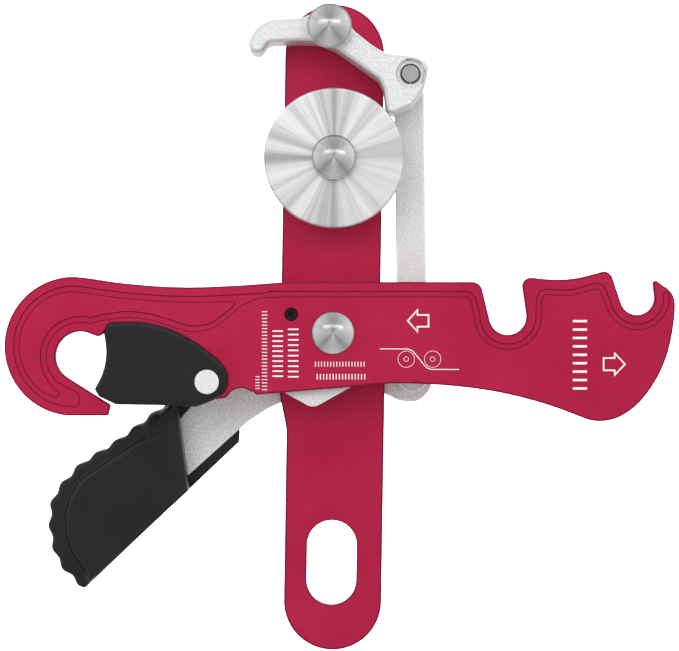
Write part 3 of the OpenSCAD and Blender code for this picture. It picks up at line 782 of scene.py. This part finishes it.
def off_line(pts, a, b):
    """Distance of each point from the straight stretch between a and b."""
    a, b = np.array(a), np.array(b)
    t = np.clip(((pts - a) @ (b - a)) / ((b - a) @ (b - a)), 0, 1)
    return np.sqrt(((pts - a - t[:, None] * (b - a)) ** 2).sum(1))


# The grip's right side from its top by the neck to the knee, then straight down to the tip.
GRIP_SIDE = [open_plate(*p) for p in
             ((-55.2, -21.5), (-53.6, -31.3), (-50.4, -54.9), (-82.9, -84.7))]
HIGH_SPOT = open_plate(-60.6, -32.2)  # the panel runs on to the edge near this point
COVER_STEP, SHELL_STEP = 2.5, 4  # how far the raised panels of the two halves stand out
GRIP_SPACING = 0.75


def all_over(value):
    """A height or a radius that is the same at every point."""
    return lambda pts, raised=None: np.full(len(pts), value)


def front_height(pts, raised):
    """The front panel: a soft step on the finger side, a bevel by the neck, a straight edge."""
    step, bevel, reach = 1.5, 2.6, 2.4
    neck = np.minimum(off_line(pts, *GRIP_SIDE[0:2]), off_line(pts, *GRIP_SIDE[1:3]))
    straight = off_line(pts, *GRIP_SIDE[2:4])
    lift = ease(raised / step + 0.35)
    lift = np.maximum(lift, ease(1.6 - np.minimum(straight, neck) / reach))
    spot = np.sqrt(((pts - np.array(HIGH_SPOT)) ** 2).sum(1))
    lift = np.maximum(lift, 0.82 * ease(1.5 - spot / 5))
    return COVER_STEP * np.minimum(lift, 0.5 + 0.5 * np.clip(neck / bevel, 0, 1))


def front_round(pts):
    """The front edge's radius, smaller down the grip's right side from the neck on."""
    straight = np.minimum(off_line(pts, *GRIP_SIDE[2:4]), off_line(pts, *GRIP_SIDE[1:3]))
    return 1.7 - 1.2 * ease(1.8 - straight / 1.5)


bm = node_mesh("gate")
for y, into in zip(depth("gate"), (1, -1)):
    relief(bm, y, y, into, all_over(1.5), 0.8, all_over(0.0))
clean(bm)
new_piece("gate_skin", bm, "gate_body", "black_nylon", ("gate",), sharp=50)

bm = node_mesh("grip_front")
relief(bm, COVER_FRONT + COVER_STEP, COVER_FRONT, 1, front_round, GRIP_SPACING, front_height)
reface(bm, COVER_BACK, -1, sizes(0.2, 0.2), 2)
clean(bm)
new_piece("grip_front_skin", bm, "handle_body", "black_nylon", ("grip_front",), sharp=50)

bm = node_mesh("grip_rear")
relief(bm, SHELL_BACK - SHELL_STEP, SHELL_BACK, -1, all_over(1.9), GRIP_SPACING,
       lambda pts, raised: SHELL_STEP * ease(raised / 2.4 + 0.35))
reface(bm, SHELL_FRONT, 1, sizes(0.2, 0.2), 2)
clean(bm)
new_piece("grip_rear_skin", bm, "handle_body", "black_nylon", ("grip_rear",), sharp=50)

# ---------------------------------------------------------------- bobbin, heads, pins

# From the bore's front chamfer round the front flange, the rope groove and the rear flange.
front, back = BOBBIN_FRONT, BOBBIN_BACK
R = half_width("bobbin_sheave")
BORE, CHAMFER, CORE = 5.02, 5.4, 14.0
FACE = R - 6.3  # breadth of the flat front face
profile = (
    [(BORE, front + 0.4), (CHAMFER, front)]
    + [(CHAMFER + FACE * k / 12, front) for k in range(1, 13)]
    + fillet(R - 0.75, front + 0.75, 0.75, -90, 0, 6)
    + [(R, front + 1.4)]
    + fillet(R - 1.0, front + 1.6, 0.9, 0, 70, 4)
    + [(21.0, front + 3.6), (18.0, front + 5.4)]
    + fillet(17.2, front + 7.4, 3.2, -120, -180, 6)
    + [(CORE, (front + back) / 2)]
    + fillet(17.2, back - 7.0, 3.2, 180, 120, 6)
    + [(18.0, back - 4.4), (20.4, back - 2.4)]
    + fillet(20.6, back - 1.6, 0.8, -20, 60, 4)
    + [(20.4, back), (CHAMFER, back), (BORE, back - 0.4)])
bm = lathe(profile, BOBBIN, 192)
new_piece("bobbin_skin", bm, "frame_body", "turned_alu", ("bobbin_sheave",), sharp=30,
          at=(BOBBIN[0], front, BOBBIN[1]))

DOME_H = 3.2  # height of a head over its seat


def domed(name, at, neck, shank, step_y):
    """A domed head with a soft rim, its neck down to step_y, shank and chamfered end."""
    y0, y1 = depth(name)
    r = half_width(name)
    ball = (r * r + DOME_H ** 2) / (2 * DOME_H)
    cap = math.asin((r - 0.25) / ball)
    dome = [(ball * math.sin(cap * k / 24), y0 + ball * (1 - math.cos(cap * k / 24)))
            for k in range(25)]
    seat = y0 + DOME_H
    rim = [(r - 0.1, seat - 0.28), (r, seat - 0.1), (r - 0.05, seat)]
    tail = [(neck, seat), (neck, step_y), (shank, step_y), (shank, y1 - 0.6),
            (shank - 0.6, y1), (0, y1)]
    bm = lathe(dome + rim + tail, at, 96)
    new_piece(name + "_skin", bm, body_of[name], slot_of[name], (name,), sharp=35,
              at=(at[0], y0, at[1]), look="domed_steel")


domed("bobbin_screw", BOBBIN, 6.1, 5.0, BOBBIN_FRONT)
domed("top_pin", TOP, 5.3, 4.0, LEVER_FRONT - 0.3)
domed("pivot_axle", PIVOT, 5.0, 4.0, SWING_BACK + 1.3)

# The rubber plug, with a sunk face and a rounded rim.
y0, y1 = depth("swing_stop_pin")
plug_r = half_width("swing_stop_pin")
bm = lathe([(0, y0 + 1.1), (plug_r * 0.42, y0 + 1.0)]
           + fillet(plug_r * 0.55 + 0.05, y0 + 0.25, 0.25, 180, 270, 4)
           + fillet(plug_r - 0.35, y0 + 0.35, 0.35, -90, 0, 5)
           + [(plug_r, y1 - 0.2), (plug_r - 0.2, y1), (0, y1)], centre("swing_stop_pin"), 64)
new_piece("swing_stop_pin_skin", bm, "swing_body", "black_rubber", ("swing_stop_pin",), sharp=40)


def snap_ring(name, at, radius, wire, gap):
    """A retaining ring of bent round wire, open over gap degrees at its foot."""
    y = sum(depth(name)) / 2
    path = [(at[0] + radius * math.cos(a), y, at[1] + radius * math.sin(a))
            for a in (math.radians(-90 + gap / 2 + (360 - gap) * k / 60) for k in range(61))]
    new_piece(name + "_wire", tube(path, wire), body_of[name], "spring_steel", (name,), sharp=40)


snap_ring("link_upper_clip", LINK_TOP, 3.1, 0.42, 10)
snap_ring("link_lower_clip", LINK_LOW, 3.4, 0.39, 40)


def coil(name, at, radius, wire, ys, turns, start, leg_in, leg_out=()):
    """A wound torsion spring: a leg, turns that begin at the angle start, and a leg out."""
    n = int(turns * 36)
    y_from, y_to = ys
    end = start + 2 * math.pi * turns
    path = list(leg_in)
    for k in range(n + 1):
        a = start + (end - start) * k / n
        path.append((at[0] + radius * math.cos(a), y_from + (y_to - y_from) * k / n,
                     at[1] + radius * math.sin(a)))
    path += leg_out
    new_piece(name + "_wire", tube(path, wire), body_of[name], "spring_steel", (name,), sharp=40)


spring_r = half_width("handle_spring") - 0.6
leg_a = [(PIVOT[0], 0.9, PIVOT[1] + 9.4), (PIVOT[0], -2.2, PIVOT[1] + 9.4),
         (PIVOT[0] - 0.1, -3.0, PIVOT[1] + 9.3)]
leg_b = [(PIVOT[0] + 9.1, -6.3, PIVOT[1] - 0.4), (PIVOT[0] + 9.1, -7.3, PIVOT[1] - 0.5)]
coil("handle_spring", PIVOT, spring_r, 0.5, (-3.55, -5.9), 2.75, math.pi / 2 + 0.03, leg_a, leg_b)
gate_r = 3.35
y0, y1 = depth("gate_spring")
leg_a = [(RIVET[0] + gate_r, y0 + 0.1, RIVET[1]), (RIVET[0] + gate_r, y0 + 0.5, RIVET[1])]
coil("gate_spring", RIVET, gate_r, 0.3, (y0 + 0.75, y1 - 0.36), 2.2, 0.05, leg_a)

# ---------------------------------------------------------------- CAD nodes that stay

BEVELLED_ANGLE = 30


def soften(name, width, segments=3):
    """Rounds the edges of a CAD node that stays, and evens out its shading."""
    ob = nodes[name]
    w = ob.modifiers.new("weld", "WELD")
    w.merge_threshold = 0.003 * MM
    d = ob.modifiers.new("flat", "DECIMATE")
    d.decimate_type = "DISSOLVE"
    d.angle_limit = math.radians(0.5)
    b = ob.modifiers.new("edge", "BEVEL")
    b.width = width * MM
    b.segments = segments
    b.limit_method = "ANGLE"
    b.angle_limit = math.radians(BEVELLED_ANGLE)
    b.miter_outer = "MITER_ARC"
    n = ob.modifiers.new("even", "WEIGHTED_NORMAL")
    n.keep_sharp = True
    n.weight = 60
    for p in ob.data.polygons:
        p.use_smooth = True


for name, ob in nodes.items():
    ob.data.materials.clear()
    ob.data.materials.append(MAT["bright_rivet" if name == "gate_rivet" else slot_of[name]])
soften("cam", 0.6)
for name in ("bobbin_nut", "top_pin_nut", "axle_nut", "grip_screws", "gate_rivet",
             "link_upper_pin", "link_lower_pin"):
    soften(name, 0.25)
for name in ("top_pin_washer", "axle_washer", "swing_washer", "hub_bush", "lever_bush",
             "bobbin_dowel"):
    soften(name, 0.15, 2)

# ---------------------------------------------------------------- white marks on the plate

PRINT_TOP, PRINT_FOOT = SWING_FRONT - 0.035, SWING_FRONT + 0.02


def on_plate(p, y):
    """A point drawn square to the open swing plate, at depth y."""
    x, z = open_plate(*p)
    return x, y, z


def mark(name, strokes):
    """Thin raised print on the swing plate: strokes are (points, width, closed), in mm."""
    bm = bmesh.new()
    for pts, width, closed in strokes:
        n = len(pts)
        sides = []
        for i, p in enumerate(pts):
            a = Vector(pts[(i - 1) % n] if closed or i else pts[0])
            b = Vector(pts[(i + 1) % n] if closed or i < n - 1 else pts[-1])
            p = Vector(p)
            da = (p - a).normalized() if (p - a).length > 1e-6 else (b - p).normalized()
            db = (b - p).normalized() if (b - p).length > 1e-6 else da
            na, nb = Vector((-da.y, da.x)), Vector((-db.y, db.x))
            m = (na + nb).normalized()
            m *= width / 2 / max(0.45, m.dot(na))
            sides.append((p + m, p - m))
        quads = []
        for left, right in sides:
            quads.append([bm.verts.new(on_plate(p, y)) for p, y in
                          ((left, PRINT_TOP), (right, PRINT_TOP),
                           (right, PRINT_FOOT), (left, PRINT_FOOT))])
        pairs = list(zip(quads, quads[1:])) + ([(quads[-1], quads[0])] if closed else [])
        for a, b in pairs:
            for k in range(4):
                bm.faces.new((a[k], a[(k + 1) % 4], b[(k + 1) % 4], b[k]))
        if not closed:
            bm.faces.new(quads[0])
            bm.faces.new(list(reversed(quads[-1])))
    new_piece(name, bm, "swing_body", "red_anodised", sharp=20, look="print_white")


def circle(c, r, n=32, a0=0, a1=360):
    """A circle as n points, or an arc from a0 to a1 degrees as n steps."""
    m = n if a1 - a0 >= 360 else n + 1
    return [(c[0] + r * math.cos(math.radians(a0 + (a1 - a0) * k / n)),
             c[1] + r * math.sin(math.radians(a0 + (a1 - a0) * k / n))) for k in range(m)]


def arrow(tip, way, length, head, half, shaft):
    """An outlined block arrow; way is +1 to the right and -1 to the left."""
    x, z = tip
    return [(x, z), (x - way * head, z + half), (x - way * head, z + shaft),
            (x - way * length, z + shaft), (x - way * length, z - shaft),
            (x - way * head, z - shaft), (x - way * head, z - half)]


def ticks(start, end, count, half, width):
    """Equal short strokes across a line, like the marks of a plain scale."""
    a, b = Vector(start), Vector(end)
    across = (b - a).normalized().orthogonal() * half
    at = [a.lerp(b, k / (count - 1)) for k in range(count)]
    return [([tuple(p - across), tuple(p + across)], width, False) for p in at]


THICK, THIN = 0.52, 0.145
mark("mark_arrow_left", [(arrow((25.5, 4.1), -1, 7.1, 3.3, 3.7, 2.0), THICK, True)])
mark("mark_arrow_right", [(arrow((99.7, -10.7), 1, 7.3, 3.5, 3.7, 2.1), THICK, True)])
mark("mark_band", ticks((84.3, 4), (84.3, -19), 9, 2.4, 0.8))
mark("mark_scales", ticks((-13.6, 1.2), (-13.6, -15), 10, 1.8, 0.5)
     + ticks((-18.9, 0.6), (-18.9, -14.8), 10, 1.8, 0.5)
     + ticks((-23.4, 7.2), (-23.4, -19.4), 24, 0.9, 0.32)
     + ticks((-25.8, -15), (-25.8, -19), 5, 0.7, 0.28)
     + ticks((-6, -10.7), (10.6, -10.7), 17, 0.85, 0.3)
     + ticks((-5.4, -15), (10.8, -15), 16, 0.95, 0.34))

# A plain scheme: a rope drawn over one roller and under the next. TANGENT is where it crosses.
ROLLER_A, ROLLER_B = (25.0, -9.0), (34.0, -9.0)
ROLLER, HUB, ROPE = 2.8, 0.8, 3.5  # radii
TANGENT = math.degrees(math.acos(2 * ROPE / (ROLLER_B[0] - ROLLER_A[0])))
ROPE_END_A, ROPE_END_B = (16.0, ROLLER_A[1] + ROPE), (43.0, ROLLER_B[1] - ROPE)
rope = ([ROPE_END_A] + circle(ROLLER_A, ROPE, 8, 90, TANGENT)
        + circle(ROLLER_B, ROPE, 8, 180 + TANGENT, 270) + [ROPE_END_B])
mark("mark_rope_way", [(rope, 0.3, False)]
     + [(circle(at, ROLLER), THIN, True) for at in (ROLLER_A, ROLLER_B)]
     + [(circle(at, HUB, 20), THIN, True) for at in (ROLLER_A, ROLLER_B)])

# ---------------------------------------------------------------- stage, light, camera

scene = bpy.context.scene
scene.view_settings.view_transform = "Standard"

FLOOR_Z = -0.16
BEND_FROM, BEND_RADIUS = 1.0, 1.2


def sweep():
    """A plain pale floor that curves up into a backdrop."""
    bm = bmesh.new()
    run = [(-3.0, 0.0), (BEND_FROM, 0.0)]
    run += [(BEND_FROM + BEND_RADIUS * math.sin(a), BEND_RADIUS - BEND_RADIUS * math.cos(a))
            for a in (math.pi / 2 * k / 24 for k in range(1, 25))]
    run.append((BEND_FROM + BEND_RADIUS, 4.0))
    rows = [[bm.verts.new((x, y, z + FLOOR_Z)) for x in (-5, 5)] for y, z in run]
    for a, b in zip(rows, rows[1:]):
        bm.faces.new((a[0], a[1], b[1], b[0])).smooth = True
    me = bpy.data.meshes.new("sweep")
    bm.to_mesh(me)
    bm.free()
    ob = bpy.data.objects.new("sweep", me)
    scene.collection.objects.link(ob)
    m = bpy.data.materials.new("pale_paper")
    m.use_nodes = True
    paper = m.node_tree.nodes["Principled BSDF"].inputs
    paper["Base Color"].default_value = grey(0.9)
    paper["Roughness"].default_value = 0.9
    me.materials.append(m)
    ob.visible_diffuse = False
    ob.visible_glossy = False


sweep()

# The world is dimmer in front and below. A camera ray that misses everything sees a plain tone.
WORLD_STRENGTH, WORLD_SEEN = 1.12, 0.77
world = bpy.data.worlds.new("studio")
scene.world = world
world.use_nodes = True
wt = world.node_tree
tc = wt.nodes.new("ShaderNodeTexCoord")
sep = wt.nodes.new("ShaderNodeSeparateXYZ")
wt.links.new(tc.outputs["Generated"], sep.inputs[0])


def world_ramp(socket, lo, hi, dark):
    """Rises from dark to 1 as the direction's coordinate goes from lo to hi."""
    n = wt.nodes.new("ShaderNodeMapRange")
    for key, v in (("From Min", lo), ("From Max", hi), ("To Min", dark), ("To Max", 1.0)):
        n.inputs[key].default_value = v
    wt.links.new(socket, n.inputs["Value"])
    return n.outputs[0]


both = wt.nodes.new("ShaderNodeMath")
both.operation = "MULTIPLY"
wt.links.new(world_ramp(sep.outputs[1], -0.95, 0.2, 0.62), both.inputs[0])
wt.links.new(world_ramp(sep.outputs[2], -0.9, 0.2, 0.6), both.inputs[1])
beyond = wt.nodes.new("ShaderNodeMix")
beyond.data_type = "RGBA"
beyond.inputs[7].default_value = grey(WORLD_SEEN)
wt.links.new(wt.nodes.new("ShaderNodeLightPath").outputs["Is Camera Ray"], beyond.inputs[0])
wt.links.new(both.outputs[0], beyond.inputs[6])
wt.links.new(beyond.outputs[2], wt.nodes["Background"].inputs["Color"])
wt.nodes["Background"].inputs["Strength"].default_value = WORLD_STRENGTH


def soft_light(name, loc, aim, size, power, size_y=None, seen=False):
    """An area light; seen says whether glossy surfaces mirror it."""
    d = bpy.data.lights.new(name, "AREA")
    d.energy = power
    d.shape = "RECTANGLE"
    d.size = size
    d.size_y = size_y or size
    ob = bpy.data.objects.new(name, d)
    scene.collection.objects.link(ob)
    ob.location = loc
    ob.rotation_euler = (Vector(aim) - Vector(loc)).to_track_quat("-Z", "Y").to_euler()
    ob.visible_camera = False
    ob.visible_glossy = seen


AIM = (0.001, -0.01, 0.089)  # near the middle of the object
soft_light("key", (-0.35, -1.0, 0.35), AIM, 0.6, 4.2)
soft_light("strip", (0.0, -1.1, 0.64), AIM, 1.9, 1.6, 0.2, seen=True)
soft_light("fill", (0.7, -0.9, 0.25), AIM, 0.7, 2.2)
soft_light("side", (-1.1, -0.6, 0.15), AIM, 0.14, 0.9, 1.2)
soft_light("top", (0.0, -0.25, 1.0), AIM, 0.9, 2.0)
soft_light("backdrop_low", (0, 0.4, 0.9), (0, 2.0, 0.0), 2.0, 38, 0.6)
soft_light("backdrop_high", (0, 0.5, 2.2), (0, 2.2, 1.2), 2.0, 40, 0.6)

VIEW_WIDTH = 237.65 * MM  # what the camera takes in at the rear plate's front
DISTANCE = 0.900
SENSOR = 36
VIEW_CENTRE = open_plate(2.2, 2.5)
cam_data = bpy.data.cameras.new("camera")
cam_data.sensor_fit = "HORIZONTAL"
cam_data.sensor_width = SENSOR
cam_data.lens = SENSOR * DISTANCE / VIEW_WIDTH
cam_data.clip_start = 0.01
cam = bpy.data.objects.new("camera", cam_data)
scene.collection.objects.link(cam)
right = Vector((math.cos(LEAN), 0, math.sin(LEAN)))
up = Vector((-math.sin(LEAN), 0, math.cos(LEAN)))
place = (VIEW_CENTRE[0] * MM, REAR_FRONT * MM - DISTANCE, VIEW_CENTRE[1] * MM)
cam.matrix_world = Matrix.Translation(place) @ Matrix(
    ((right.x, up.x, 0, 0), (right.y, up.y, -1, 0), (right.z, up.z, 0, 0), (0, 0, 0, 1)))
scene.camera = cam
